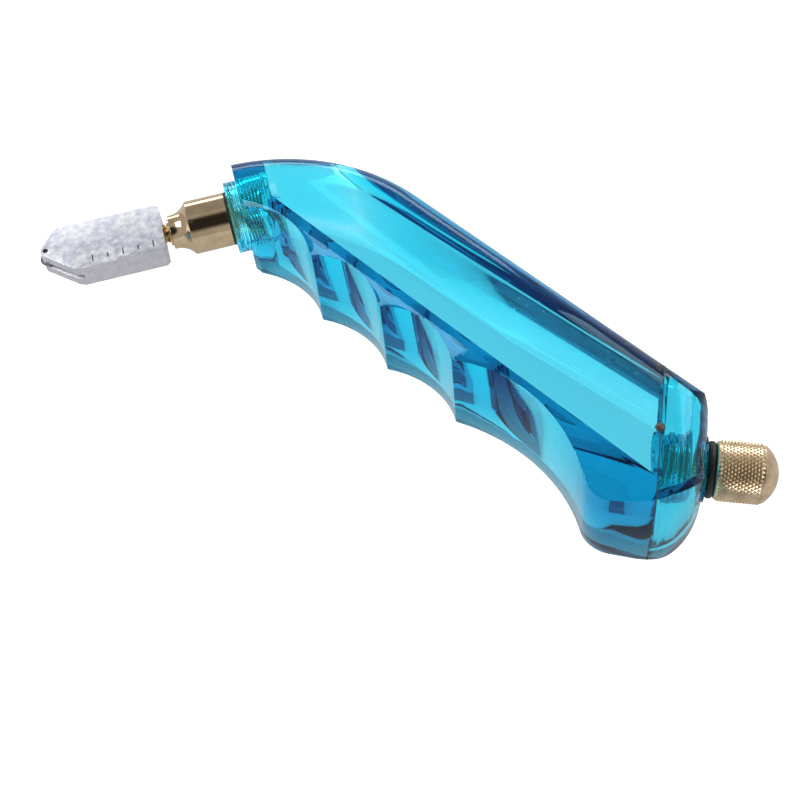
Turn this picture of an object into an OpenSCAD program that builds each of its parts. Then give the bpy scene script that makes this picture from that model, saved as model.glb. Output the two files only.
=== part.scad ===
// Oil-fed pistol-grip glass cutter, lying on its side.
// Millimetres. The design frame has its origin on the barrel axis at the front of the
// grip's collar: X runs from the cutting head to the grip, Y to the back of the grip and
// Z to the upper side. place() moves it so that the lower side flat is at Z = 0.

/* [Grip] */
// Thickness of the grip between its two side flats
grip_thick = 24.8; // [20:0.2:32]
// Depth of the grip from its back line to the finger ridges
grip_depth = 28.5; // [24:0.5:36]
// Angle from the barrel axis down to the grip's straight back
grip_angle = 58.7; // [50:0.1:68]
// Radius of the bend where the back turns into the barrel's direction
bend_r = 45.5; // [38:0.5:54]
// Height of the bend's top over the barrel axis
back_height = 8; // [6:0.5:11]
// Rounding of the two back edges
back_round = 7; // [4:0.5:9]
// Distance between two finger ridges
finger_pitch = 20.3; // [16:0.1:24]
// Depth of each finger scallop
finger_dip = 3.1; // [1.5:0.1:4.5]
// Radius of the long sweep behind the last ridge
sweep_r = 34.8; // [28:0.2:44]
// Radius of the heel's lower corner
heel_r = 6.5; // [5:0.5:8]
// Wall of the hollow grip
wall = 2.6; // [1.8:0.1:3.4]
// Length of the grip's straight back, bend to the glued seam on the filler axis
seam_s = 77.7; // [66:0.1:88]

/* [Collar and barrel] */
// Diameter of the collar that the barrel screws into
collar_d = 16; // [14:0.5:20]
// Length of the collar in front of the grip
collar_len = 2.8; // [1.5:0.1:5]
// Diameter of the brass barrel
barrel_d = 12; // [10:0.1:14]
// Length of the barrel's full-diameter part
barrel_len = 9.4; // [7:0.1:14]
// Length of the concave nose
nose_len = 4.35; // [3:0.05:6]
// Diameter of the nose's front lip
nose_d = 7.6; // [7:0.1:9]
// Radial step from the barrel down to its rear thread
thread_step = 0.5; // [0.4:0.1:1]
// Radial clearance of running fits
run_fit = 0.03; // [0.02:0.01:0.08]

/* [Head] */
// Width of the head block across the barrel axis
head_w = 13.6; // [11:0.1:16]
// Thickness of the head block
head_t = 5.6; // [4.6:0.1:7]
// Length of the head block from its rear face to the front of its upper edge
head_len = 23.7; // [18:0.1:30]
// Diameter of the cutting wheel
wheel_d = 3.7; // [3:0.1:5]
// Thickness of the cutting wheel
wheel_t = 1.2; // [0.9:0.1:1.8]
// Diameter of the wheel's axle
axle_d = 1.2; // [0.8:0.1:1.6]
// Travel of the head when it is pressed on the glass
press_travel = 0.8; // [0.4:0.1:1.2]

/* [Filler] */
// Angle of the filler axis below the barrel axis
filler_angle = 23; // [15:1:35]
// Diameter of the knurled cap
cap_d = 12; // [10:0.1:14]
// Length of the knurled part of the cap
cap_len = 9.1; // [7:0.1:12]
// Height of the cap's dome
dome_h = 2.9; // [1.5:0.1:4]
// Diameter of the cap's threaded stud
stud_d = 8; // [6:0.1:9]
// Thickness of the black sealing ring under the cap
ring_t = 1.8; // [1.2:0.1:2.4]

/* [Hidden] */
$fn = 96;
e = 0.01;
ht = grip_thick / 2;
fit = 0.02;                                   // radial gap of parts that are screwed or pressed home

// grip lines: s runs down the straight back from the bend, d is minus the depth under it
n = [sin(grip_angle), cos(grip_angle)];
t = [cos(grip_angle), -sin(grip_angle)];
bend_c = [1.8, back_height - bend_r];
p0 = bend_c + bend_r * n;
function at_sd(s, d) = p0 + s * t + d * n;
ridge_last = 36.8;
ridge_0 = ridge_last - 3 * finger_pitch;
ridge_land = 0.2;                             // half width of the narrow land on each ridge
finger_r = (pow(finger_pitch / 2 - ridge_land, 2) + pow(finger_dip, 2)) / (2 * finger_dip);
heel_d = -grip_depth + 2.4;
heel_s = seam_s - 0.97309;                    // the heel keeps its place at the seam
// the sweep starts on the last ridge and touches the heel's circle
sweep_from = [ridge_last + ridge_land, -grip_depth];
sweep_gap = norm([heel_s, heel_d] - sweep_from);
sweep_u = ([heel_s, heel_d] - sweep_from) / sweep_gap;
sweep_near = (pow(sweep_r, 2) - pow(sweep_r + heel_r - 0.01, 2) + pow(sweep_gap, 2)) / (2 * sweep_gap);
sweep_c = sweep_from + sweep_near * sweep_u + sqrt(pow(sweep_r, 2) - pow(sweep_near, 2)) * [sweep_u[1], -sweep_u[0]];
sweep_s = sweep_c[0];
sweep_d = sweep_c[1];
join_s = sweep_s + (heel_s - sweep_s) * sweep_r / (sweep_r + heel_r);

// seam and filler frame: a runs out along the filler axis from the seam, b towards the back
seam_d = -15;
seam_p = at_sd(seam_s, seam_d);
tilt = grip_angle - filler_angle;
a_s = cos(tilt); a_d = sin(tilt);
function to_ab(s, d) = [(s - seam_s) * a_s + (d - seam_d) * a_d, -(s - seam_s) * a_d + (d - seam_d) * a_s];
heel_ab = to_ab(heel_s, heel_d);
end_r = 12;                                   // rounding from the heel up to the cover's end
end_ab = [heel_ab[0] + 4.6, heel_ab[1] - heel_r + end_r];
cover_len = 9.1;
land_h = 0.3;
land_r = stud_d / 2 + 2.4;
ring_a = cover_len + land_h;                  // front of the sealing ring
cap_a = ring_a + ring_t;                      // underside of the cap
top_r = 10;                                   // rounding of the cover's upper corner
top_ab = [cover_len - top_r, (-seam_d - top_r - a_d * (cover_len - top_r)) / a_s];
seam_top = -seam_d / a_s;
boss_r = stud_d / 2 + 2;
boss_in = 2.5;                                // reach of the boss in front of the seam
lip_len = 1;
lip_wall = 1.3;

// cavity
cav_z = ht - wall;
cav_r = back_round - wall;
cav_front = collar_len + 7;                   // back of the grip's front wall
cav_floor = -(grip_depth - finger_dip - 3);
draft = 1.7;

// barrel and valve, positions along X
gasket_t = 0.5;
barrel_r = barrel_d / 2;
shoulder = -gasket_t;
flare_x = -barrel_len;
nose_x = flare_x - nose_len;
lip_w = 0.4;
flare_l = nose_len - lip_w;
flare_rho = (pow(flare_l, 2) + pow(barrel_r - nose_d / 2, 2)) / (2 * (barrel_r - nose_d / 2));
thread_r = barrel_r - thread_step;
barrel_end = 9;
nose_bore = nose_d / 2 - 0.85;
chamber_r = thread_r - 1.4;
valve = chamber_r / 4.1;                       // the valve parts are sized to their chamber
chamber_x = -7.4;
plunger_x = nose_x - 0.45;                    // front of the plunger
plunger_r = nose_bore - run_fit;
piston_r = chamber_r - run_fit;
plunger_end = 0.2;
groove_x = -5.5;
groove_w = 1.4;
groove_r = chamber_r - 1.2;
block_x = nose_x - 1.55;                      // rear of the head block
stem_r = plunger_r - 0.72;
stem_front = block_x - 5.7;
stem_end = plunger_x + 3.8;
wick_r = 0.6;
oil_r = 0.7;
pin_x = flare_x + 0.7;
pin_r = 0.4;
pin_angle = 60;
slot_floor = 1.9;
seat_x = 1.4; seat_t = 1.6; seat_hole = 1.5 * valve;
washer_t = 0.58;
poppet_x = seat_x + seat_t + fit + washer_t;  // front of the poppet's head
poppet_t = 1; poppet_r = 2.6 * valve; poppet_rod = 0.8 * valve;
spring_x = poppet_x + poppet_t + fit;
retainer_t = 1;
retainer_x = barrel_end - retainer_t;
spring_end = retainer_x - fit;
spring_mean = 2.1 * valve; spring_wire = 0.22; spring_turns = 4;

// head
block_front = block_x - head_len;
tip_x = block_front - 3.6;
axle_x = tip_x + 1.1;
axle_y = 0.8;
low_front = block_x - 20;
slot_w = wheel_t + 0.2;
slot_c = [low_front - 8.2, -6.2];
slot_r = norm([axle_x, axle_y] - slot_c) + wheel_d / 2 + 0.2;
soft = 0.8;                                   // small corner bevels of the block

// stored frame: a point of the lower flat is the origin
rest = at_sd(30, -14);

module place() translate([-rest[0], -rest[1], ht]) children();
module rod(x0, x1, r) translate([x0, 0, 0]) rotate([0, 90, 0]) cylinder(r = r, h = x1 - x0);
module ring_x(x, major, minor) translate([x, 0, 0]) rotate([0, 90, 0]) rotate_extrude() translate([major, 0]) circle(r = minor, $fn = 48);
module back_frame() translate([bend_c[0], bend_c[1], 0]) rotate(90 - grip_angle) translate([bend_r, 0, 0]) children();
module slab(s0, s1, d0, d1, z) back_frame() translate([d0, -s1, -z]) cube([d1 - d0, s1 - s0, 2 * z]);
module disc(s, d, r, z) back_frame() translate([d, -s, -z]) cylinder(r = r, h = 2 * z);
module filler_frame() translate([seam_p[0], seam_p[1], 0]) rotate(-filler_angle) children();
module ab_disc(p, r, z) translate([p[0], p[1], -z]) cylinder(r = r, h = 2 * z);
module a_rod(a0, a1, r) filler_frame() rod(a0, a1, r);

// everything under the back line, square edged
module back_limit() {
    translate([bend_c[0], bend_c[1], -ht]) cylinder(r = bend_r, h = grip_thick, $fn = 180);
    slab(0, 130, -70, 0, ht);
}

// what the rounding takes off the two back edges
module back_edges() {
    r = back_round; z = ht - r;
    for (k = [0, 1]) mirror([0, 0, k]) {
        translate([bend_c[0], bend_c[1], 0]) rotate(90 - grip_angle) rotate_extrude(angle = grip_angle + 4, $fn = 180) difference() {
            translate([bend_r - r, z]) square(r + 2);
            translate([bend_r - r, z]) circle(r = r, $fn = 64);
        }
        back_frame() difference() {
            translate([-r, -130, z]) cube([r + 2, 130, r + 2]);
            translate([-r, 1, z]) rotate([90, 0, 0]) cylinder(r = r, h = 132);
        }
    }
}

// the straight run of the back: edge at d0, rounded on both sides
module straight_back(w, s0, d0) {
    r = back_round - w; z = ht - w;
    slab(s0, 130, -70, d0 - r, z);
    slab(s0, 130, d0 - r - 1, d0, z - r);
    for (k = [-1, 1]) back_frame() translate([d0 - r, -s0, k * (z - r)]) rotate([90, 0, 0]) cylinder(r = r, h = 130 - s0);
}

// outline of the finger side, full thickness
module finger_outline() {
    difference() {
        union() {
            slab(-70, ridge_last, -grip_depth, 70, ht + 1);
            difference() {
                slab(ridge_last - 1, join_s, -45, 70, ht + 1);
                slab(ridge_last - 2, ridge_last, -46, -grip_depth, ht + 2);
            }
            filler_frame() rear_plan(0);
        }
        disc(sweep_s, sweep_d, sweep_r, ht + 2);
        for (i = [0:2]) disc(ridge_0 + (i + 0.5) * finger_pitch, -grip_depth - finger_r + finger_dip, finger_r, ht + 2);
    }
}

// bevels that lead from the side flats to the finger edge
module finger_bevels() {
    fx = -grip_depth + 4.25; fe = -grip_depth - 6; run = (fx - fe) * 0.28;
    back_frame() rotate([90, 0, 0]) translate([0, 0, -60])
        linear_extrude(height = 200)
            polygon([[70, -ht], [70, ht], [fx, ht], [fe, ht - run], [fe, -ht + run], [fx, -ht]]);
}

// outline of the heel and the end in the filler frame, cut in by w
module rear_plan(w) {
    h = heel_r - w; q = end_r - w; r = top_r - w; top = (13 * a_d - seam_d - w) / a_s;
    ab_disc(heel_ab, h, ht + 1);
    ab_disc(end_ab, q, ht + 1);
    ab_disc(top_ab, r, ht + 1);
    translate([0, 0, -ht - 1]) linear_extrude(height = grip_thick + 2)
        polygon([[heel_ab[0] - 5.73, top], top_ab + r * [a_d, a_s], top_ab, top_ab + [r, 0], end_ab + [q, 0], end_ab, end_ab - [0, q],
            heel_ab - [0, h], [heel_ab[0] - 5.23 + w, heel_ab[1]]]);
}

// side view of the end: flats that round over to the end face
module end_limit(w) {
    r = back_round - w; z = ht - w; end = cover_len - w;
    translate([-150, -60, -z]) cube([150 + end - r, 120, 2 * z]);
    translate([end - r - 1, -60, -(z - r)]) cube([r + 1, 120, 2 * (z - r)]);
    for (k = [-1, 1]) translate([end - r, -60, k * (z - r)]) rotate([-90, 0, 0]) cylinder(r = r, h = 120);
}

module head_block() color("silver") place() {
    difference() {
        translate([0, 0, -head_t / 2]) linear_extrude(height = head_t)
            polygon([[block_x, head_w / 2 - soft], [block_x - soft, head_w / 2], [block_front + soft, head_w / 2], [block_front - soft * 0.5, head_w / 2 - soft * 0.9],
                [tip_x, axle_y + 0.5], [tip_x, axle_y - 0.9], [low_front - soft * 0.7, -head_w / 2 + soft * 0.7], [low_front + soft, -head_w / 2],
                [block_x - soft, -head_w / 2], [block_x, -head_w / 2 + soft]]);
        translate([slot_c[0], slot_c[1], -slot_w / 2]) cylinder(r = slot_r, h = slot_w);
        translate([axle_x, axle_y, -head_t]) cylinder(d = axle_d + fit, h = 2 * head_t);
        rod(stem_front - e, block_x + 1, stem_r + fit);
        rod(slot_c[0] + slot_r - 1.4, stem_front + 1, 0.5);
    }
}

module cutting_wheel() color("dimgray") place() translate([axle_x, axle_y, 0]) rotate_extrude()
    polygon([[axle_d / 2 + run_fit, -wheel_t / 2], [wheel_d / 2 - 0.25, -wheel_t / 2], [wheel_d / 2, 0], [wheel_d / 2 - 0.25, wheel_t / 2], [axle_d / 2 + run_fit, wheel_t / 2]]);

module wheel_axle() color("black") place() translate([axle_x, axle_y, -head_t / 2 + 0.05]) cylinder(d = axle_d, h = head_t - 0.1);

module head_stem() color("goldenrod") place() difference() {
    rod(stem_front, stem_end, stem_r);
    rod(stem_front - 1, stem_end + 1, oil_r);
}

module oil_wick() color("beige") place() rod(stem_front + 0.2, plunger_end - 2.6, wick_r);

module plunger() color("darkgoldenrod") place() difference() {
    union() {
        rod(plunger_x, chamber_x + 1, plunger_r);
        rod(chamber_x + fit, groove_x + groove_w + 1.4, piston_r);
        rod(chamber_x + 1, plunger_end, chamber_r - 1.5);
    }
    difference() {
        rod(groove_x, groove_x + groove_w, piston_r + 1);
        rod(groove_x - 1, groove_x + groove_w + 1, groove_r);
    }
    rod(plunger_x - 1, stem_end + fit, stem_r + fit);
    rod(plunger_x, plunger_end - 0.8, oil_r);
    translate([plunger_end - 1.6, 0, -4]) cylinder(r = 0.6, h = 8);
    rotate([90 - pin_angle, 0, 0]) translate([pin_x - pin_r - press_travel - 0.05, -0.7, slot_floor]) cube([2 * pin_r + press_travel + 0.1, 1.4, 3]);
}

module plunger_seal() color("black") place() ring_x(groove_x + groove_w / 2, (groove_r + chamber_r) / 2, (chamber_r - groove_r) / 2 - fit);

module guide_pin() color("gold") place() rotate([90 - pin_angle, 0, 0]) translate([pin_x, 0, slot_floor + 0.3]) cylinder(r = pin_r, h = barrel_r - slot_floor - 0.4);

module barrel() color("gold") place() difference() {
    union() {
        difference() {
            rod(nose_x + lip_w, shoulder, barrel_r);
            ring_x(nose_x + lip_w, nose_d / 2 + flare_rho, flare_rho);
            difference() {
                rod(nose_x + lip_w - 1, nose_x + lip_w + e, barrel_r + 1);
                rod(nose_x, nose_x + lip_w + 1, nose_d / 2);
            }
        }
        rod(nose_x, nose_x + lip_w + e, nose_d / 2);
        rod(shoulder - 1, barrel_end, thread_r);
    }
    rod(nose_x - 1, chamber_x + 1, nose_bore);
    rod(chamber_x, barrel_end + 1, chamber_r);
    rotate([90 - pin_angle, 0, 0]) translate([pin_x, 0, 1]) cylinder(r = pin_r + 0.01, h = barrel_r + 1);
}

module barrel_gasket() color("black") place() difference() {
    rod(-gasket_t, 0, barrel_r);
    rod(-gasket_t - 1, 1, thread_r + 0.05);
}

module valve_seat() color("goldenrod") place() difference() {
    rod(seat_x, seat_x + seat_t, chamber_r - fit);
    rod(seat_x - 1, seat_x + seat_t + 1, seat_hole);
}

module valve_washer() color("black") place() difference() {
    rod(seat_x + seat_t + fit / 2, poppet_x - fit / 2, poppet_r - 0.1);
    rod(seat_x, poppet_x + 1, poppet_rod + fit);
}

module valve_poppet() color("silver") place() {
    rod(plunger_end + fit, poppet_x + e, poppet_rod);
    rod(poppet_x, poppet_x + poppet_t, poppet_r);
    rod(poppet_x + poppet_t - e, poppet_x + poppet_t + 1.2, 1.4 * valve);
}

// open compression spring drawn as one closed tube along X
module valve_spring() color("silver") place() {
    k = 8; m = spring_turns * 20; w = spring_wire; run = spring_end - spring_x - 2 * w;
    pts = [for (i = [0:m]) let (q = 360 * spring_turns * i / m, x = spring_x + w + run * i / m)
        for (j = [0:k - 1]) let (c = w * cos(360 * j / k), v = w * sin(360 * j / k)) [x + v, (spring_mean + c) * cos(q), (spring_mean + c) * sin(q)]];
    polyhedron(points = pts, faces = concat(
        [[for (j = [0:k - 1]) j]], [[for (j = [0:k - 1]) m * k + k - 1 - j]],
        [for (i = [0:m - 1]) for (j = [0:k - 1]) [i * k + (j + 1) % k, i * k + j, (i + 1) * k + j]],
        [for (i = [0:m - 1]) for (j = [0:k - 1]) [i * k + (j + 1) % k, (i + 1) * k + j, (i + 1) * k + (j + 1) % k]]));
}

module spring_retainer() color("goldenrod") place() difference() {
    rod(retainer_x, retainer_x + retainer_t, chamber_r - fit);
    rod(retainer_x - 1, barrel_end + 1, 1.5 * valve);
    translate([barrel_end - 0.4, -5, -0.4]) cube([1, 10, 0.8]);
}

module grip_body() color("deepskyblue") place() difference() {
    union() {
        intersection() {
            back_limit();
            finger_outline();
            finger_bevels();
            translate([collar_len, -150, -50]) cube([150, 200, 100]);
            filler_frame() translate([-150, -100, -50]) cube([150, 200, 100]);
        }
        rod(0, collar_len + 1, collar_d / 2);
    }
    back_edges();
    rod(-1, cav_front + 1, thread_r + fit);
    intersection() {
        union() {
            back_frame() translate([-5, 15, 0]) rotate(draft) translate([5, -15, 0]) rotate(-(90 - grip_angle)) translate([-p0[0], -p0[1], 0]) straight_back(wall, -60, -5);
        }
        slab(-70, 100, cav_floor, 20, ht);
        translate([cav_front, -150, -50]) cube([150, 200, 100]);
        translate([cav_front, 3.6, -50]) rotate(-19.5) translate([-50, -150, 0]) cube([200, 150, 100]);
    }
}

module cover_skin() intersection() {
    filler_frame() {
        intersection() {
            rear_plan(0);
            end_limit(0);
            translate([0, -60, -50]) cube([100, 120, 100]);
        }
    }
    straight_back(0, 0, 0);
    finger_bevels();
}

module rear_cover() color("cadetblue") place() {
    difference() {
        union() {
            difference() {
                cover_skin();
                intersection() {
                    filler_frame() intersection() {
                        rear_plan(wall);
                        end_limit(wall);
                        translate([-1, -60, -50]) cube([100, 120, 100]);
                    }
                    straight_back(wall, 0, -wall);
                }
            }
            a_rod(-boss_in, cover_len - 1, boss_r);
            a_rod(cover_len - 3, ring_a, land_r);
            lip();
        }
        a_rod(-boss_in - 1, ring_a + 1, stud_d / 2 + 0.05);
    }
}

// locating lip that reaches into the grip's mouth
module lip() {
    top = seam_top - wall / a_s - 0.6; low = (cav_floor - seam_d) / a_s + 1.2; lz = cav_z - 0.2;
    filler_frame() difference() {
        union() {
            translate([-lip_len, low, -lz + 3.4]) rotate([0, 90, 0]) linear_extrude(height = lip_len + 0.5) lip_plan(top - low, lz, 0);
            translate([0, low, -lz + 3.4]) rotate([0, 90, 0]) linear_extrude(height = 1) lip_plan(top - low, lz, -0.75);
        }
        translate([-lip_len - 1, low, -lz + 3.4]) rotate([0, 90, 0]) linear_extrude(height = lip_len + 3) lip_plan(top - low, lz, lip_wall);
    }
}
module lip_plan(h, lz, w) polygon([[3.4 - w, w], [3.4 - w, h - 5], [0.6 - w, h - w], [-2 * lz + 6.2 + w, h - w], [-2 * lz + 3.4 + w, h - 5], [-2 * lz + 3.4 + w, w]]);

module fill_cap() color("gold") place() filler_frame() {
    difference() {
        union() {
            rod(cap_a, cap_a + cap_len, cap_d / 2);
            translate([cap_a + cap_len, 0, 0]) rotate([0, 90, 0]) rotate_extrude() intersection() {
                translate([0, dome_h - dome_r]) circle(r = dome_r);
                translate([0, -0.3]) square([dome_w, dome_h + 1]);
            }
            rod(cap_a - 9.8, cap_a + 1, stud_d / 2);
        }
        difference() {
            rod(ring_a - 0.3, cap_a, stud_d / 2 + 1);
            rod(ring_a - 1, cap_a + 1, stud_d / 2 - 0.25);
        }
    }
}
dome_w = cap_d / 2 - 0.3;
dome_r = (dome_w * dome_w + dome_h * dome_h) / (2 * dome_h);

module cap_seal() color("black") place() filler_frame() ring_x(ring_a + ring_t / 2, stud_d / 2 - 0.2 + ring_t / 2, ring_t / 2);

head_block();
cutting_wheel();
wheel_axle();
head_stem();
oil_wick();
plunger();
plunger_seal();
guide_pin();
barrel();
barrel_gasket();
valve_seat();
valve_washer();
valve_poppet();
valve_spring();
spring_retainer();
grip_body();
rear_cover();
fill_cap();
cap_seal();
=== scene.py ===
"""Looks of an oil-fed pistol-grip glass cutter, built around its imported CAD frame."""
import math

import bpy
from mathutils import Matrix, Vector


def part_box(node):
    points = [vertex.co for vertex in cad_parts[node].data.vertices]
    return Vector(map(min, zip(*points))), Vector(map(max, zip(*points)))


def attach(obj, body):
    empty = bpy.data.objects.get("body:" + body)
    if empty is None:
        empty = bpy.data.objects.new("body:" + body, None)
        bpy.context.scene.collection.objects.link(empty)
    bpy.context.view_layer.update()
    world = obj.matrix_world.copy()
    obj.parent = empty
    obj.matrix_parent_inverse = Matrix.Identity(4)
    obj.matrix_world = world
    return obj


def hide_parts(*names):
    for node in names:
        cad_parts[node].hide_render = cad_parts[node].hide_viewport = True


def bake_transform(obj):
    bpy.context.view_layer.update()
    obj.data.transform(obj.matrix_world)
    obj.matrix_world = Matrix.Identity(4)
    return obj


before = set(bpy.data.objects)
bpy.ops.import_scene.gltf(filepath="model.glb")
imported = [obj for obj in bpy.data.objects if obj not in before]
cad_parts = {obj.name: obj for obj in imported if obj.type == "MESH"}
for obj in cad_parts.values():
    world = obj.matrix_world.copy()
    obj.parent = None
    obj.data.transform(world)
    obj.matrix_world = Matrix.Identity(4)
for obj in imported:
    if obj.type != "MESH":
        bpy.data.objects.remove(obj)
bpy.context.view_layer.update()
scene = bpy.context.scene

# Camera: a product camera looks down over the near side of the tool, with the
# cutting head on the left and the filler cap on the right.
camera_data = bpy.data.cameras.new("studio_camera")
camera_data.sensor_width = 36
camera_data.lens = 63
camera_data.clip_start = 0.01
camera_data.clip_end = 20
camera = bpy.data.objects.new("studio_camera", camera_data)
scene.collection.objects.link(camera)
camera_right = Vector((0.967092, -0.243488, -0.073803))
camera_back = Vector((-0.077278, -0.557476, 0.826588))
camera_up = camera_back.cross(camera_right).normalized()
camera_right = camera_up.cross(camera_back).normalized()
camera.matrix_world = Matrix.Translation((-0.04183, -0.17032, 0.24694)) @ Matrix(
    (camera_right, camera_up, camera_back.normalized())
).transposed().to_4x4()
scene.camera = camera

# Table and studio light: a white light table in a white light tent, which is open, and so
# dark, around the camera. Both look dimmer in a reflection than through clear plastic. A
# long strip lamp low at the back and two softboxes give the highlights.
table_seen, table_reflected = 1.20, 0.42
bpy.ops.object.select_all(action="DESELECT")
bpy.ops.mesh.primitive_plane_add(size=4, location=(0, 0, -0.0001))
table = bpy.context.object
table.name = "white_table"
bpy.ops.object.transform_apply(location=True, rotation=True, scale=True)
laminate = bpy.data.materials.new("white_laminate")
laminate.use_nodes = True
laminate_shader = laminate.node_tree.nodes["Principled BSDF"]
laminate_shader.inputs["Base Color"].default_value = (0.22, 0.22, 0.22, 1)
laminate_shader.inputs["Emission Color"].default_value = (1, 1, 1, 1)
seen_by = laminate.node_tree.nodes.new("ShaderNodeLightPath")
glow = laminate.node_tree.nodes.new("ShaderNodeMapRange")
glow.inputs["To Min"].default_value = table_seen
glow.inputs["To Max"].default_value = table_reflected
laminate.node_tree.links.new(seen_by.outputs["Is Reflection Ray"], glow.inputs["Value"])
laminate.node_tree.links.new(glow.outputs["Result"], laminate_shader.inputs["Emission Strength"])
laminate.cycles.emission_sampling = "NONE"
laminate_shader.inputs["Roughness"].default_value = 0.9
laminate_shader.inputs["Specular IOR Level"].default_value = 0.1
table.data.materials.append(laminate)

for light_name, place, width, depth, watts in (
    ("rear_strip", (0.0, 0.85, 0.26), 1.3, 0.22, 2.6),
    ("right_softbox", (0.75, 0.45, 0.55), 0.5, 0.5, 2.0),
    ("left_softbox", (-0.55, 0.10, 0.55), 0.35, 0.35, 2.4),
):
    light_data = bpy.data.lights.new(light_name, "AREA")
    light_data.shape = "RECTANGLE"
    light_data.size = width
    light_data.size_y = depth
    light_data.energy = watts
    light = bpy.data.objects.new(light_name, light_data)
    scene.collection.objects.link(light)
    light.location = place
    light.rotation_euler = (-Vector(place)).to_track_quat("-Z", "Y").to_euler()

tent_seen, tent_reflected = 0.85, 0.42
room = bpy.data.worlds.new("studio_room")
room.use_nodes = True
scene.world = room
room_nodes, room_links = room.node_tree.nodes, room.node_tree.links
room_side = room_nodes.new("ShaderNodeTexCoord")
tent_light = None
for opening, inner, outer, dark in (
    ((-0.077, -0.557, 0.827), 0.955, 0.80, 0.06),
    ((0.08, 0.56, 0.82), 0.97, 0.80, 0.76),
):
    toward = room_nodes.new("ShaderNodeVectorMath")
    toward.operation = "DOT_PRODUCT"
    toward.inputs[1].default_value = opening
    room_links.new(room_side.outputs["Generated"], toward.inputs[0])
    fade = room_nodes.new("ShaderNodeMapRange")
    fade.interpolation_type = "SMOOTHSTEP"
    fade.inputs["From Min"].default_value = outer
    fade.inputs["From Max"].default_value = inner
    fade.inputs["To Min"].default_value = 1
    fade.inputs["To Max"].default_value = dark
    room_links.new(toward.outputs["Value"], fade.inputs["Value"])
    if tent_light is None:
        tent_light = fade.outputs["Result"]
    else:
        together = room_nodes.new("ShaderNodeMath")
        together.operation = "MULTIPLY"
        room_links.new(tent_light, together.inputs[0])
        room_links.new(fade.outputs["Result"], together.inputs[1])
        tent_light = together.outputs["Value"]
through = room_nodes.new("ShaderNodeLightPath")
even_light = tent_light
for ray in ("Is Transmission Ray", "Is Camera Ray"):
    even = room_nodes.new("ShaderNodeMath")
    even.operation = "MAXIMUM"
    room_links.new(even_light, even.inputs[0])
    room_links.new(through.outputs[ray], even.inputs[1])
    even_light = even.outputs["Value"]
room_links.new(even_light, room_nodes["Background"].inputs["Color"])
room_level = room_nodes.new("ShaderNodeMapRange")
room_level.inputs["To Min"].default_value = tent_reflected
room_level.inputs["To Max"].default_value = tent_seen
room_links.new(through.outputs["Is Transmission Ray"], room_level.inputs["Value"])
backdrop = room_nodes.new("ShaderNodeMath")
backdrop.operation = "MAXIMUM"
room_links.new(room_level.outputs["Result"], backdrop.inputs[0])
room_links.new(through.outputs["Is Camera Ray"], backdrop.inputs[1])
room_links.new(backdrop.outputs["Value"], room_nodes["Background"].inputs["Strength"])
scene.view_settings.view_transform = "Standard"
scene.view_settings.look = "None"
scene.cycles.max_bounces = 40
scene.cycles.transmission_bounces = 40
scene.cycles.glossy_bounces = 32
scene.cycles.transparent_max_bounces = 24

# Grip: the hollow oil handle, moulded in clear blue acrylic with a collar for the barrel.
# Its edges are softly rounded by the mould and its skin has fine handling scratches.
def loose_copy(source, name):
    """A copy of a piece or CAD node, tied to nothing, selected and ready to be worked on."""
    bpy.ops.object.select_all(action="DESELECT")
    piece = source.copy()
    piece.data = piece.data.copy()
    piece.parent = None
    for key in [k for k in piece.keys() if k.startswith("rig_")]:
        del piece[key]
    piece.name = piece.data.name = name
    scene.collection.objects.link(piece)
    piece.select_set(True)
    bpy.context.view_layer.objects.active = piece
    return piece


def carry_over(node, name, body, edge, sharp):
    """A merged copy of a CAD node's mesh, with its edges softened, which stands for the node."""
    piece = loose_copy(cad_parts[node], name)
    if piece.data.has_custom_normals:
        bpy.ops.mesh.customdata_custom_splitnormals_clear()
    bpy.ops.object.mode_set(mode="EDIT")
    bpy.ops.mesh.select_all(action="SELECT")
    bpy.ops.mesh.remove_doubles(threshold=0.000002)
    bpy.ops.mesh.mark_sharp(clear=True)
    bpy.ops.mesh.dissolve_limited(angle_limit=math.radians(0.5), delimit=set())
    bpy.ops.object.mode_set(mode="OBJECT")
    soften = piece.modifiers.new("soft_edges", "BEVEL")
    soften.width = edge
    soften.segments = 2
    soften.limit_method = "ANGLE"
    soften.angle_limit = math.radians(sharp)
    bpy.ops.object.modifier_apply(modifier=soften.name)
    bpy.ops.object.shade_smooth_by_angle(angle=math.radians(sharp))
    piece.data.materials.clear()
    if body:
        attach(piece, body)
    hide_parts(node)
    return piece


def effect(name, outputs):
    """An empty shader group that reads a Vector and a Size and puts out named values."""
    group = bpy.data.node_groups.new(name, "ShaderNodeTree")
    group.interface.new_socket("Vector", in_out="INPUT", socket_type="NodeSocketVector")
    group.interface.new_socket("Size", in_out="INPUT", socket_type="NodeSocketFloat")
    for output in outputs:
        group.interface.new_socket(output, in_out="OUTPUT", socket_type="NodeSocketFloat")
    return group, group.nodes.new("NodeGroupInput"), group.nodes.new("NodeGroupOutput")


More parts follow.
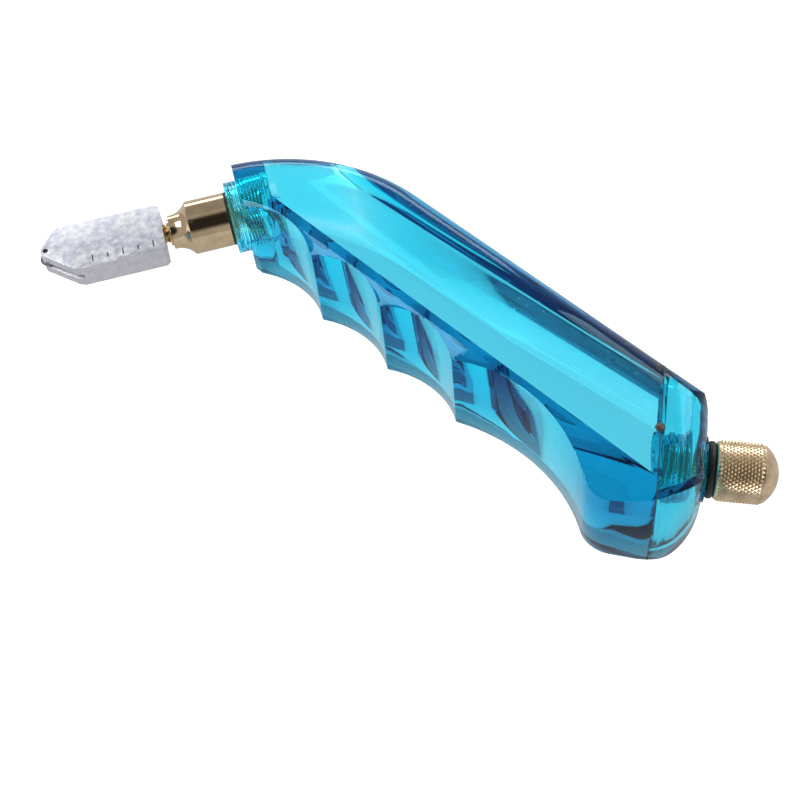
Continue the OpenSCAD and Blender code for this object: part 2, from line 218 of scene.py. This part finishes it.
# fine handling scratches in two directions, as a mask of thin broken lines
scratches, scratch_in, scratch_out = effect("scratches", ("Mask",))
scratch_sides = []
for turn, stretch in ((0.6, 0.12), (-0.9, 0.18)):
    lay = scratches.nodes.new("ShaderNodeMapping")
    lay.inputs["Rotation"].default_value = (0, 0, turn)
    lay.inputs["Scale"].default_value = (stretch, 1, 0.6)
    lines = scratches.nodes.new("ShaderNodeTexNoise")
    lines.inputs["Detail"].default_value = 3
    thin = scratches.nodes.new("ShaderNodeMapRange")
    thin.inputs["From Min"].default_value = 0.70
    thin.inputs["From Max"].default_value = 0.76
    scratches.links.new(scratch_in.outputs["Vector"], lay.inputs["Vector"])
    scratches.links.new(lay.outputs["Vector"], lines.inputs["Vector"])
    scratches.links.new(scratch_in.outputs["Size"], lines.inputs["Scale"])
    scratches.links.new(lines.outputs["Fac"], thin.inputs["Value"])
    scratch_sides.append(thin)
scratch_both = scratches.nodes.new("ShaderNodeMath")
scratch_both.operation = "MAXIMUM"
for index, side in enumerate(scratch_sides):
    scratches.links.new(side.outputs["Result"], scratch_both.inputs[index])
scratches.links.new(scratch_both.outputs["Value"], scratch_out.inputs["Mask"])

# soft cloudy variation, coarse and fine together
clouds, cloud_in, cloud_out = effect("clouds", ("Mask",))
cloud_noise = clouds.nodes.new("ShaderNodeTexNoise")
cloud_noise.inputs["Detail"].default_value = 6
cloud_noise.inputs["Roughness"].default_value = 0.6
cloud_spread = clouds.nodes.new("ShaderNodeMapRange")
cloud_spread.inputs["From Min"].default_value = 0.32
cloud_spread.inputs["From Max"].default_value = 0.68
clouds.links.new(cloud_in.outputs["Vector"], cloud_noise.inputs["Vector"])
clouds.links.new(cloud_in.outputs["Size"], cloud_noise.inputs["Scale"])
clouds.links.new(cloud_noise.outputs["Fac"], cloud_spread.inputs["Value"])
clouds.links.new(cloud_spread.outputs["Result"], cloud_out.inputs["Mask"])

# tiny specks and pits, one in each of the cells that the size sets
specks, speck_in, speck_out = effect("specks", ("Mask",))
speck_cells = specks.nodes.new("ShaderNodeTexVoronoi")
speck_spot = specks.nodes.new("ShaderNodeMapRange")
speck_spot.inputs["From Min"].default_value = 0.075
speck_spot.inputs["From Max"].default_value = 0.04
specks.links.new(speck_in.outputs["Vector"], speck_cells.inputs["Vector"])
specks.links.new(speck_in.outputs["Size"], speck_cells.inputs["Scale"])
specks.links.new(speck_cells.outputs["Distance"], speck_spot.inputs["Value"])
specks.links.new(speck_spot.outputs["Result"], speck_out.inputs["Mask"])


def blank(name, **plain):
    """A material with its shader's plain sockets set, and its object coordinates."""
    material = bpy.data.materials.new(name)
    material.use_nodes = True
    shader = material.node_tree.nodes["Principled BSDF"]
    for socket, value in plain.items():
        shader.inputs[socket.replace("_", " ")].default_value = value
    return material, shader, material.node_tree.nodes.new("ShaderNodeTexCoord")


def lay_effect(material, group, where, size):
    """Places a shader group in a material, fed with coordinates and a size."""
    node = material.node_tree.nodes.new("ShaderNodeGroup")
    node.node_tree = group
    node.inputs["Size"].default_value = size
    material.node_tree.links.new(where.outputs["Object"], node.inputs["Vector"])
    return node.outputs["Mask"]


def between(material, mask, low, high):
    """A value, or a colour, that goes from low to high with a mask."""
    nodes, links = material.node_tree.nodes, material.node_tree.links
    if isinstance(low, tuple):
        mix = nodes.new("ShaderNodeMix")
        mix.data_type = "RGBA"
        mix.inputs["A"].default_value = (*low, 1)
        mix.inputs["B"].default_value = (*high, 1)
        links.new(mask, mix.inputs["Factor"])
        return mix.outputs["Result"]
    spread = nodes.new("ShaderNodeMapRange")
    spread.inputs["To Min"].default_value = low
    spread.inputs["To Max"].default_value = high
    links.new(mask, spread.inputs["Value"])
    return spread.outputs["Result"]


def relief(material, height, depth, strength):
    """Bump from a mask, depth metres deep."""
    bump = material.node_tree.nodes.new("ShaderNodeBump")
    bump.inputs["Distance"].default_value = depth
    bump.inputs["Strength"].default_value = strength
    material.node_tree.links.new(height, bump.inputs["Height"])
    shader = material.node_tree.nodes["Principled BSDF"]
    material.node_tree.links.new(bump.outputs["Normal"], shader.inputs["Normal"])


def acrylic(name, absorbed, density, haze):
    """Clear acrylic coloured through its depth, with scratches, specks and a scuffed underside."""
    scratch_size, speck_size, ripple_size = 900, 260, 120
    scuff_top, scuff_floor, scuff_haze = 0.00012, 0.00003, 0.58
    plastic, shader, where = blank(
        name, Base_Color=(0.94, 0.90, 0.95, 1), IOR=1.49, Transmission_Weight=1.0,
        Specular_IOR_Level=0.20, Specular_Tint=(0.35, 0.80, 1.0, 1),
    )
    links = plastic.node_tree.links
    depth = plastic.node_tree.nodes.new("ShaderNodeVolumeAbsorption")
    depth.inputs["Color"].default_value = (*absorbed, 1)
    depth.inputs["Density"].default_value = density
    links.new(depth.outputs["Volume"], plastic.node_tree.nodes["Material Output"].inputs["Volume"])
    marks = plastic.node_tree.nodes.new("ShaderNodeMath")
    marks.operation = "MAXIMUM"
    links.new(lay_effect(plastic, scratches, where, scratch_size), marks.inputs[0])
    links.new(lay_effect(plastic, specks, where, speck_size), marks.inputs[1])
    slight = plastic.node_tree.nodes.new("ShaderNodeMath")
    slight.operation = "MULTIPLY"
    slight.inputs[1].default_value = 0.5
    links.new(marks.outputs["Value"], slight.inputs[0])
    underside = plastic.node_tree.nodes.new("ShaderNodeSeparateXYZ")
    links.new(where.outputs["Object"], underside.inputs["Vector"])
    scuffed = plastic.node_tree.nodes.new("ShaderNodeMapRange")
    scuffed.inputs["From Min"].default_value = scuff_top
    scuffed.inputs["From Max"].default_value = scuff_floor
    links.new(underside.outputs["Z"], scuffed.inputs["Value"])
    worn = plastic.node_tree.nodes.new("ShaderNodeMath")
    worn.operation = "MAXIMUM"
    links.new(slight.outputs["Value"], worn.inputs[0])
    links.new(scuffed.outputs["Result"], worn.inputs[1])
    roughness = between(plastic, worn.outputs["Value"], haze, haze + scuff_haze)
    links.new(roughness, shader.inputs["Roughness"])
    relief(plastic, lay_effect(plastic, clouds, where, ripple_size), 0.00002, 0.15)
    return plastic


mould_crease = 28
grip = carry_over("grip_body", "grip", "handle", 0.00022, mould_crease)
grip.data.materials.append(acrylic("blue_acrylic", (0.0, 0.865, 0.928), 400, 0.012))

# End cover: a thin moulded shell of the same acrylic in a greyer teal, glued on the grip,
# with the threaded boss of the filler in its middle.
end_cover = carry_over(
    "rear_cover", "end_cover", "handle", 0.00025, mould_crease
)
end_cover.data.materials.append(acrylic("teal_acrylic", (0.0, 0.835, 0.895), 580, 0.03))

# Barrel: polished brass, turned from bar with a concave nose, bored through, threaded
# behind its shoulder and screwed into the grip's collar. Sizes are along its axis in mm.
MM = 0.001
nose, tail, shoulder = -13.75, 9.0, -0.5
body_radius, lip_radius, bore, nose_bore = 6.0, 3.8, 4.1, 2.95
collar_root, collar_crest, collar_pitch = 5.05, 5.5, 0.8
barrel_low, barrel_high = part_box("barrel")
barrel_line = (barrel_low + barrel_high) / 2
barrel_frame = Matrix.Translation((barrel_low.x - nose * MM, barrel_line.y, barrel_line.z))


def turned(name, stations, segments, closed=False):
    """A piece turned about X: a circle drawn out from station to station (x, radius)."""
    bpy.ops.object.select_all(action="DESELECT")
    x, radius = stations[0]
    bpy.ops.mesh.primitive_circle_add(
        vertices=segments, radius=radius * MM, location=(x * MM, 0, 0),
        fill_type="NOTHING" if closed else "NGON", rotation=(0, math.radians(90), 0),
    )
    piece = bpy.context.object
    piece.name = piece.data.name = name
    bpy.ops.object.transform_apply(location=True, rotation=True, scale=True)
    bpy.ops.object.mode_set(mode="EDIT")
    bpy.ops.mesh.select_all(action="SELECT")
    for next_x, next_radius in stations[1:]:
        bpy.ops.mesh.extrude_region_move(
            TRANSFORM_OT_translate={"value": ((next_x - x) * MM, 0, 0)}
        )
        growth = next_radius / radius
        bpy.ops.transform.resize(value=(1, growth, growth), center_override=(next_x * MM, 0, 0))
        x, radius = next_x, next_radius
    bpy.ops.mesh.select_all(action="SELECT")
    bpy.ops.mesh.remove_doubles(threshold=0.000003)
    bpy.ops.mesh.normals_make_consistent(inside=False)
    bpy.ops.object.mode_set(mode="OBJECT")
    return piece


def steps(start, end, radius, pitch):
    """Close stations along a stretch that gets a thread."""
    count = round((end - start) / pitch * 8)
    return [(start + (end - start) * i / count, radius) for i in range(count + 1)]


def cut_thread(piece, start, end, root, crest, pitch):
    """Sinks a helical groove between start and end of a turned piece along X."""
    flank_slope, crest_flat = 2.6, 0.15
    for vertex in piece.data.vertices:
        x, radius = vertex.co.x / MM, math.hypot(vertex.co.y, vertex.co.z) / MM
        if start - 1e-6 <= x <= end + 1e-6 and abs(radius - crest) < 1e-3:
            turn = (x / pitch - math.atan2(vertex.co.z, vertex.co.y) / math.tau) % 1
            groove = min(1, max(0, flank_slope * abs(turn - 0.5) - crest_flat))
            run_out = min(1, (x - start) / pitch, (end - x) / pitch)
            sunk = (crest - (crest - root) * groove * run_out) / radius
            vertex.co.y *= sunk
            vertex.co.z *= sunk


def settle(piece, place, body, node, material, sharp=35):
    """Puts a finished piece in its place, smooths it, gives it its material, ties it to its body
    and hides the CAD node it stands for.
    """
    piece.data.transform(place)
    bpy.ops.object.select_all(action="DESELECT")
    piece.select_set(True)
    bpy.context.view_layer.objects.active = piece
    bpy.ops.object.shade_smooth_by_angle(angle=math.radians(sharp))
    piece.data.materials.clear()
    piece.data.materials.append(material)
    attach(piece, body)
    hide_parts(node)
    return piece


def brass(name, bright, dull, smooth, worn, line):
    """Brass with turning lines across the axis and a light tarnish."""
    tarnish_size, scratch_size = 420, 1500
    metal, shader, where = blank(name, Metallic=1.0)
    links = metal.node_tree.links
    tarnish = lay_effect(metal, clouds, where, tarnish_size)
    links.new(between(metal, tarnish, bright, dull), shader.inputs["Base Color"])
    marks = lay_effect(metal, scratches, where, scratch_size)
    links.new(between(metal, marks, smooth, worn), shader.inputs["Roughness"])
    split = metal.node_tree.nodes.new("ShaderNodeSeparateXYZ")
    tool_lines = metal.node_tree.nodes.new("ShaderNodeTexNoise")
    tool_lines.noise_dimensions = "1D"
    tool_lines.inputs["Scale"].default_value = line
    tool_lines.inputs["Detail"].default_value = 2
    links.new(where.outputs["Object"], split.inputs["Vector"])
    links.new(split.outputs["X"], tool_lines.inputs["W"])
    relief(metal, tool_lines.outputs["Fac"], 0.000004, 0.25)
    return metal


flare_start, flare_length, flare_radius = nose + 0.4, 3.95, 4.646
flare_steps = [flare_length * i / 12 for i in range(1, 12)]
nose_flare = [
    (flare_start + along, lip_radius + flare_radius - math.sqrt(flare_radius**2 - along**2))
    for along in flare_steps
]
collar_start, collar_end = 0.4, 8.7
barrel = turned(
    "barrel_turned",
    [(nose, nose_bore + 0.15), (nose, lip_radius - 0.14), (nose + 0.13, lip_radius),
     (flare_start, lip_radius), *nose_flare,
     (-9.42, body_radius - 0.07), (-9.33, body_radius),
     (shoulder - 0.12, body_radius), (shoulder, body_radius - 0.1),
     (shoulder, 5.2), (0.3, 5.2), (0.3, collar_crest),
     *steps(collar_start, collar_end, collar_crest, collar_pitch),
     (tail, 5.1), (tail, bore), (-7.4, bore), (-7.4, nose_bore),
     (nose + 0.13, nose_bore), (nose, nose_bore + 0.15)],
    96, closed=True,
)
cut_thread(barrel, collar_start, collar_end, collar_root, collar_crest, collar_pitch)
polished_brass = brass(
    "polished_brass", (0.84, 0.65, 0.43), (0.70, 0.52, 0.32), 0.10, 0.24, 9000
)
settle(barrel, barrel_frame, "handle", "barrel", polished_brass)

# Guide pin's hole: drilled into the barrel behind its nose, a little way round from the top,
# for the pressed-in pin that guides the plunger. The pin's bright end shows in it.
def cut_out(piece, tool, materials="INDEX"):
    """Takes the shape of a tool out of a piece, and clears the tool away."""
    cut = piece.modifiers.new("cut", "BOOLEAN")
    cut.operation = "DIFFERENCE"
    cut.solver = "EXACT"
    cut.object = tool
    cut.material_mode = materials
    bpy.context.view_layer.objects.active = piece
    bpy.ops.object.modifier_apply(modifier=cut.name)
    bpy.data.objects.remove(tool)


pin_x, pin_round, pin_hole = -8.7, 30, 0.42
bpy.ops.object.select_all(action="DESELECT")
bpy.ops.mesh.primitive_cylinder_add(vertices=24, radius=pin_hole * MM, depth=2.4 * MM)
drill = bpy.context.object
bpy.ops.object.transform_apply(location=True, rotation=True, scale=True)
drill.data.transform(
    barrel_frame
    @ Matrix.Translation((pin_x * MM, 0, 0))
    @ Matrix.Rotation(math.radians(pin_round), 4, "X")
    @ Matrix.Translation((0, 0, 5.5 * MM))
)
cut_out(barrel, drill)

# Collar's thread: cut in the grip with a tap, a little wider than the barrel's own thread, so
# that its turns show in the clear plastic round the brass.
def tap(plastic, place, start, end, core, outer, pitch, segments):
    """Cuts a female thread into a plastic piece with a threaded plug."""
    plug = turned("tap", [(start, core), *steps(start, end, outer, pitch), (end, core)], segments)
    cut_thread(plug, start, end, core, outer, pitch)
    plug.data.transform(place)
    cut_out(plastic, plug)
    bpy.ops.object.select_all(action="DESELECT")
    plastic.select_set(True)
    bpy.ops.object.shade_smooth_by_angle(angle=math.radians(mould_crease))


tap(grip, barrel_frame, 0.6, 9.4, collar_crest + 0.03, 5.85, collar_pitch, 72)

# Small turned brass: the plunger that carries the head, the valve's seat, the slotted disc
# that holds the spring, and the guide pin. All are turned from bar and pressed or slid in.
def finish_in(material, *nodes):
    """Gives a material to CAD nodes, which keep their own shape."""
    for node in nodes:
        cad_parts[node].data.materials.clear()
        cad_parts[node].data.materials.append(material)


turned_brass = brass("turned_brass", (0.80, 0.60, 0.34), (0.66, 0.47, 0.25), 0.22, 0.35, 5000)
plunger = carry_over("plunger", "plunger_turned", "head", 0.00006, 40)
plunger.data.materials.append(turned_brass)
finish_in(turned_brass, "valve_seat", "spring_retainer", "guide_pin")

# Valve spring: wound from round spring-steel wire. On the cutter its front end moves with the
# valve and its rear end rests on the retainer, so it closes up as the head is pressed; here it is
# one fixed shape, tied to no body.
def mottled(name, size, dark, light, smooth, rough, bump=None, **plain):
    """A material whose colour and roughness, and bump if given, wander with clouds."""
    material, shader, where = blank(name, **plain)
    mask = lay_effect(material, clouds, where, size)
    links = material.node_tree.links
    links.new(between(material, mask, dark, light), shader.inputs["Base Color"])
    links.new(between(material, mask, smooth, rough), shader.inputs["Roughness"])
    if bump:
        relief(material, mask, *bump)
    return material


spring_wire = mottled(
    "spring_wire", 2500, (0.30, 0.30, 0.33), (0.46, 0.46, 0.50), 0.22, 0.36, Metallic=1.0
)
wound_spring = carry_over("valve_spring", "wound_spring", None, 0.00002, 60)
wound_spring.data.materials.append(spring_wire)
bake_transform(wound_spring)

# Stem: a brass screw with a hole for the wick along it, which joins the cutting head to the
# plunger. Its ends are chamfered.
stem_front, stem_end, wick_hole = -21, -10.4, 0.7
stem_root, stem_crest, stem_pitch = 1.85, 2.2, 0.7
stem_start, stem_stop = stem_front + 0.2, stem_end - 0.2
stem = turned(
    "stem_screw",
    [(stem_front, wick_hole), (stem_front, 1.9), (stem_start, stem_crest),
     *steps(stem_start, stem_stop, stem_crest, stem_pitch),
     (stem_end, 1.95), (stem_end, wick_hole), (stem_front, wick_hole)],
    48, closed=True,
)
cut_thread(stem, stem_start, stem_stop, stem_root, stem_crest, stem_pitch)
settle(stem, barrel_frame, "head", "head_stem", turned_brass)

# Filler cap: brass, turned with a domed end and a threaded stud, and rolled with a diamond
# knurl. It is made along X, from the middle of its ring, and then turned to the filler's slope.
filler_slope = -23
stud_root, stud_crest, stud_pitch, stud_from, stud_to = 3.5, 4.0, 1.25, -8.6, -1.6
knurl_rows, knurl_columns, knurl_from, knurl_to = 14, 88, 1.22, 9.86
knurl_valley, knurl_peak = 5.66, 5.995
dome_centre, dome_radius, dome_from, dome_length = 5.85, 7.05, 9.98, 2.9
ring_low, ring_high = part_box("cap_seal")
filler_frame = Matrix.Translation((ring_low + ring_high) / 2) @ Matrix.Rotation(
    math.radians(filler_slope), 4, "Z"
)
knurl_step = (knurl_to - knurl_from) / knurl_rows
dome_steps = [dome_from + dome_length * math.sin(k * math.pi / 20) for k in range(1, 11)]
dome = [
    (x, math.sqrt(max(dome_radius**2 - (x - dome_centre) ** 2, 0.0025))) for x in dome_steps
]
cap = turned(
    "cap_turned",
    [(-8.9, stud_root), (stud_from, stud_crest),
     *steps(stud_from, stud_to, stud_crest, stud_pitch),
     (-1.5, 3.75), (0.9, 3.75), (0.9, 5.4), (1.1, 5.6),
     *[(knurl_from + knurl_step * i, knurl_valley) for i in range(knurl_rows + 1)],
     (9.92, 5.66), (9.99, 5.62), *dome],
    knurl_columns,
)
cut_thread(cap, stud_from, stud_to, stud_root, stud_crest, stud_pitch)
for vertex in cap.data.vertices:
    row = (vertex.co.x / MM - knurl_from) / knurl_step
    column = math.atan2(vertex.co.z, vertex.co.y) / math.tau * knurl_columns
    on_knurl = abs(math.hypot(vertex.co.y, vertex.co.z) / MM - knurl_valley) < 0.01
    between_ends = 0.5 < row < knurl_rows - 0.5
    if on_knurl and between_ends and (round(row) + round(column)) % 2 == 0:
        vertex.co.y *= knurl_peak / knurl_valley
        vertex.co.z *= knurl_peak / knurl_valley
bpy.ops.object.mode_set(mode="EDIT")
bpy.ops.mesh.select_all(action="SELECT")
bpy.ops.mesh.quads_convert_to_tris(quad_method="SHORTEST_DIAGONAL")
bpy.ops.object.mode_set(mode="OBJECT")
knurl_brass = brass("knurled_brass", (0.97, 0.78, 0.53), (0.66, 0.49, 0.31), 0.32, 0.48, 6000)
settle(cap, filler_frame, "cap", "fill_cap", knurl_brass, 20)

# Boss's thread: the boss in the end cover is tapped for the cap's stud, with the same pitch
# and a little clearance, so that the cap can be screwed out.
tap(end_cover, filler_frame, -10.2, -2.2, stud_crest + 0.06, 4.4, stud_pitch, 64)

# Seals: nitrile rubber rings, moulded. The cap's ring is squeezed flat on both sides between
# the cover and the cap.
rubber = mottled(
    "nitrile_rubber", 2200, (0.012, 0.012, 0.016), (0.030, 0.029, 0.034), 0.38, 0.55,
    bump=(0.00001, 0.4), IOR=1.52,
)
ring_radius, ring_cord, squeezed = 4.7, 0.895, 0.86
bpy.ops.object.select_all(action="DESELECT")
bpy.ops.mesh.primitive_torus_add(
    major_radius=ring_radius * MM, minor_radius=ring_cord * MM,
    major_segments=72, minor_segments=28, rotation=(0, math.radians(90), 0),
)
cap_ring = bpy.context.object
cap_ring.name = cap_ring.data.name = "cap_ring"
bpy.ops.object.transform_apply(location=True, rotation=True, scale=True)
for vertex in cap_ring.data.vertices:
    vertex.co.x = max(-squeezed * MM, min(squeezed * MM, vertex.co.x))
settle(cap_ring, filler_frame, "cap_ring", "cap_seal", rubber, 60)
finish_in(rubber, "barrel_gasket", "plunger_seal", "valve_washer")

# Glue: the joint of grip and cover, filled with acrylic cement that has squeezed out in a
# thin dark bead, with two drops of it left on the joint.
cement = mottled(
    "acrylic_cement", 1200, (0.006, 0.045, 0.065), (0.03, 0.10, 0.12), 0.25, 0.6, IOR=1.48
)
dirty_cement = mottled(
    "dirty_cement", 900, (0.03, 0.028, 0.026), (0.17, 0.155, 0.145), 0.3, 0.6, IOR=1.48
)
seam_along, bead_radius = -10.36, 0.10
drop_grain_size, drop_unevenness = 0.0006, 0.00055
glue_bead = loose_copy(grip, "glue_bead")
filler_axis = filler_frame.to_3x3() @ Vector((1, 0, 0))
bpy.ops.object.mode_set(mode="EDIT")
bpy.ops.mesh.select_all(action="SELECT")
bpy.ops.mesh.bisect(
    plane_co=filler_frame @ Vector((seam_along * MM, 0, 0)), plane_no=filler_axis,
    clear_inner=True, clear_outer=True,
)
bpy.ops.object.mode_set(mode="OBJECT")
bpy.ops.object.convert(target="CURVE")
glue_bead.data.bevel_depth = bead_radius * MM
glue_bead.data.bevel_resolution = 2
bpy.ops.object.convert(target="MESH")
glue_bead.data.materials.clear()
glue_bead.data.materials.append(cement)
bpy.ops.object.shade_smooth()
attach(glue_bead, "handle")

drop_grain = bpy.data.textures.new("drop_grain", "CLOUDS")
drop_grain.noise_scale = drop_grain_size
for drop_name, along, across, height, size in (
    ("glue_drop_side", -10.45, 0.65, 12.35, (0.95, 1.0, 0.34)),
    ("glue_drop_back", -11.2, 15.0, 11.3, (0.7, 0.9, 0.4)),
):
    bpy.ops.object.select_all(action="DESELECT")
    bpy.ops.mesh.primitive_ico_sphere_add(subdivisions=4, radius=MM)
    drop = bpy.context.object
    drop.name = drop.data.name = drop_name
    bpy.ops.object.mode_set(mode="EDIT")
    bpy.ops.mesh.select_all(action="SELECT")
    bpy.ops.transform.resize(value=size, center_override=(0, 0, 0))
    bpy.ops.object.mode_set(mode="OBJECT")
    rough = drop.modifiers.new("uneven", "DISPLACE")
    rough.texture = drop_grain
    rough.strength = drop_unevenness
    bpy.ops.object.modifier_apply(modifier=rough.name)
    drop.data.transform(filler_frame @ Matrix.Translation((along * MM, across * MM, height * MM)))
    bpy.ops.object.shade_smooth()
    drop.data.materials.append(dirty_cement)
    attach(drop, "handle")

# Head block: steel, milled and nickel plated, then tumbled matt; its corner bevels and its
# narrow edges are ground brighter.
plate_steel = mottled(
    "tumbled_steel", 700, (0.58, 0.59, 0.72), (0.98, 0.99, 1.0), 0.42, 0.58,
    bump=(0.00002, 0.5), Metallic=0.85,
)
ground_steel = mottled(
    "ground_steel", 500, (0.66, 0.66, 0.72), (0.82, 0.82, 0.88), 0.22, 0.34, Metallic=1.0
)
block = carry_over("head_block", "cutter_block", "head", 0.00028, 40)
block.data.materials.append(plate_steel)
block.data.materials.append(ground_steel)
for face in block.data.polygons:
    face.material_index = 0 if abs(face.normal.z) > 0.98 else 1

# Ticks: five plain short lines, engraved along the block's lower edge by burning the steel
# dark, every second one shorter.
ink = mottled(
    "engraving", 3000, (0.09, 0.085, 0.085), (0.20, 0.19, 0.19), 0.5, 0.7, Metallic=0.5
)
tick_first, tick_gap, tick_across, face_height = -31.5, 3.4, -4.5, 2.8
tick_width, tick_long, tick_short, tick_depth = 0.3, 1.9, 1.2, 0.24
for tick in range(5):
    tick_place = barrel_frame @ Vector(
        ((tick_first + tick_gap * tick) * MM, tick_across * MM, face_height * MM)
    )
    bpy.ops.object.select_all(action="DESELECT")
    bpy.ops.mesh.primitive_cube_add(size=MM, location=tick_place)
    graver = bpy.context.object
    bpy.ops.object.transform_apply(location=True, rotation=True, scale=True)
    bpy.ops.object.mode_set(mode="EDIT")
    bpy.ops.transform.resize(
        value=(tick_width, tick_long if tick % 2 == 0 else tick_short, tick_depth),
        center_override=tick_place,
    )
    bpy.ops.object.mode_set(mode="OBJECT")
    graver.data.materials.append(ink)
    cut_out(block, graver, "TRANSFER")

# Cutting wheel and its axle: a ground carbide wheel with a keen edge, which turns on a black
# steel pin pressed through the block. The valve's poppet is as hard and grey.
carbide = mottled(
    "carbide", 3000, (0.22, 0.22, 0.24), (0.34, 0.34, 0.36), 0.25, 0.4, Metallic=0.9
)
black_pin = mottled(
    "black_oxide", 1800, (0.015, 0.015, 0.016), (0.05, 0.05, 0.052), 0.35, 0.5, Metallic=0.6
)
finish_in(carbide, "cutting_wheel", "valve_poppet")
finish_in(black_pin, "wheel_axle")

# Wick: undyed cotton cord, drawn through the stem's hole and soaked with oil, which it
# carries to the wheel.
felt, felt_shader, felt_where = blank("oiled_cotton", Roughness=0.8)
fibres = lay_effect(felt, clouds, felt_where, 4000)
felt.node_tree.links.new(
    between(felt, fibres, (0.30, 0.24, 0.15), (0.55, 0.47, 0.33)), felt_shader.inputs["Base Color"]
)
finish_in(felt, "oil_wick")
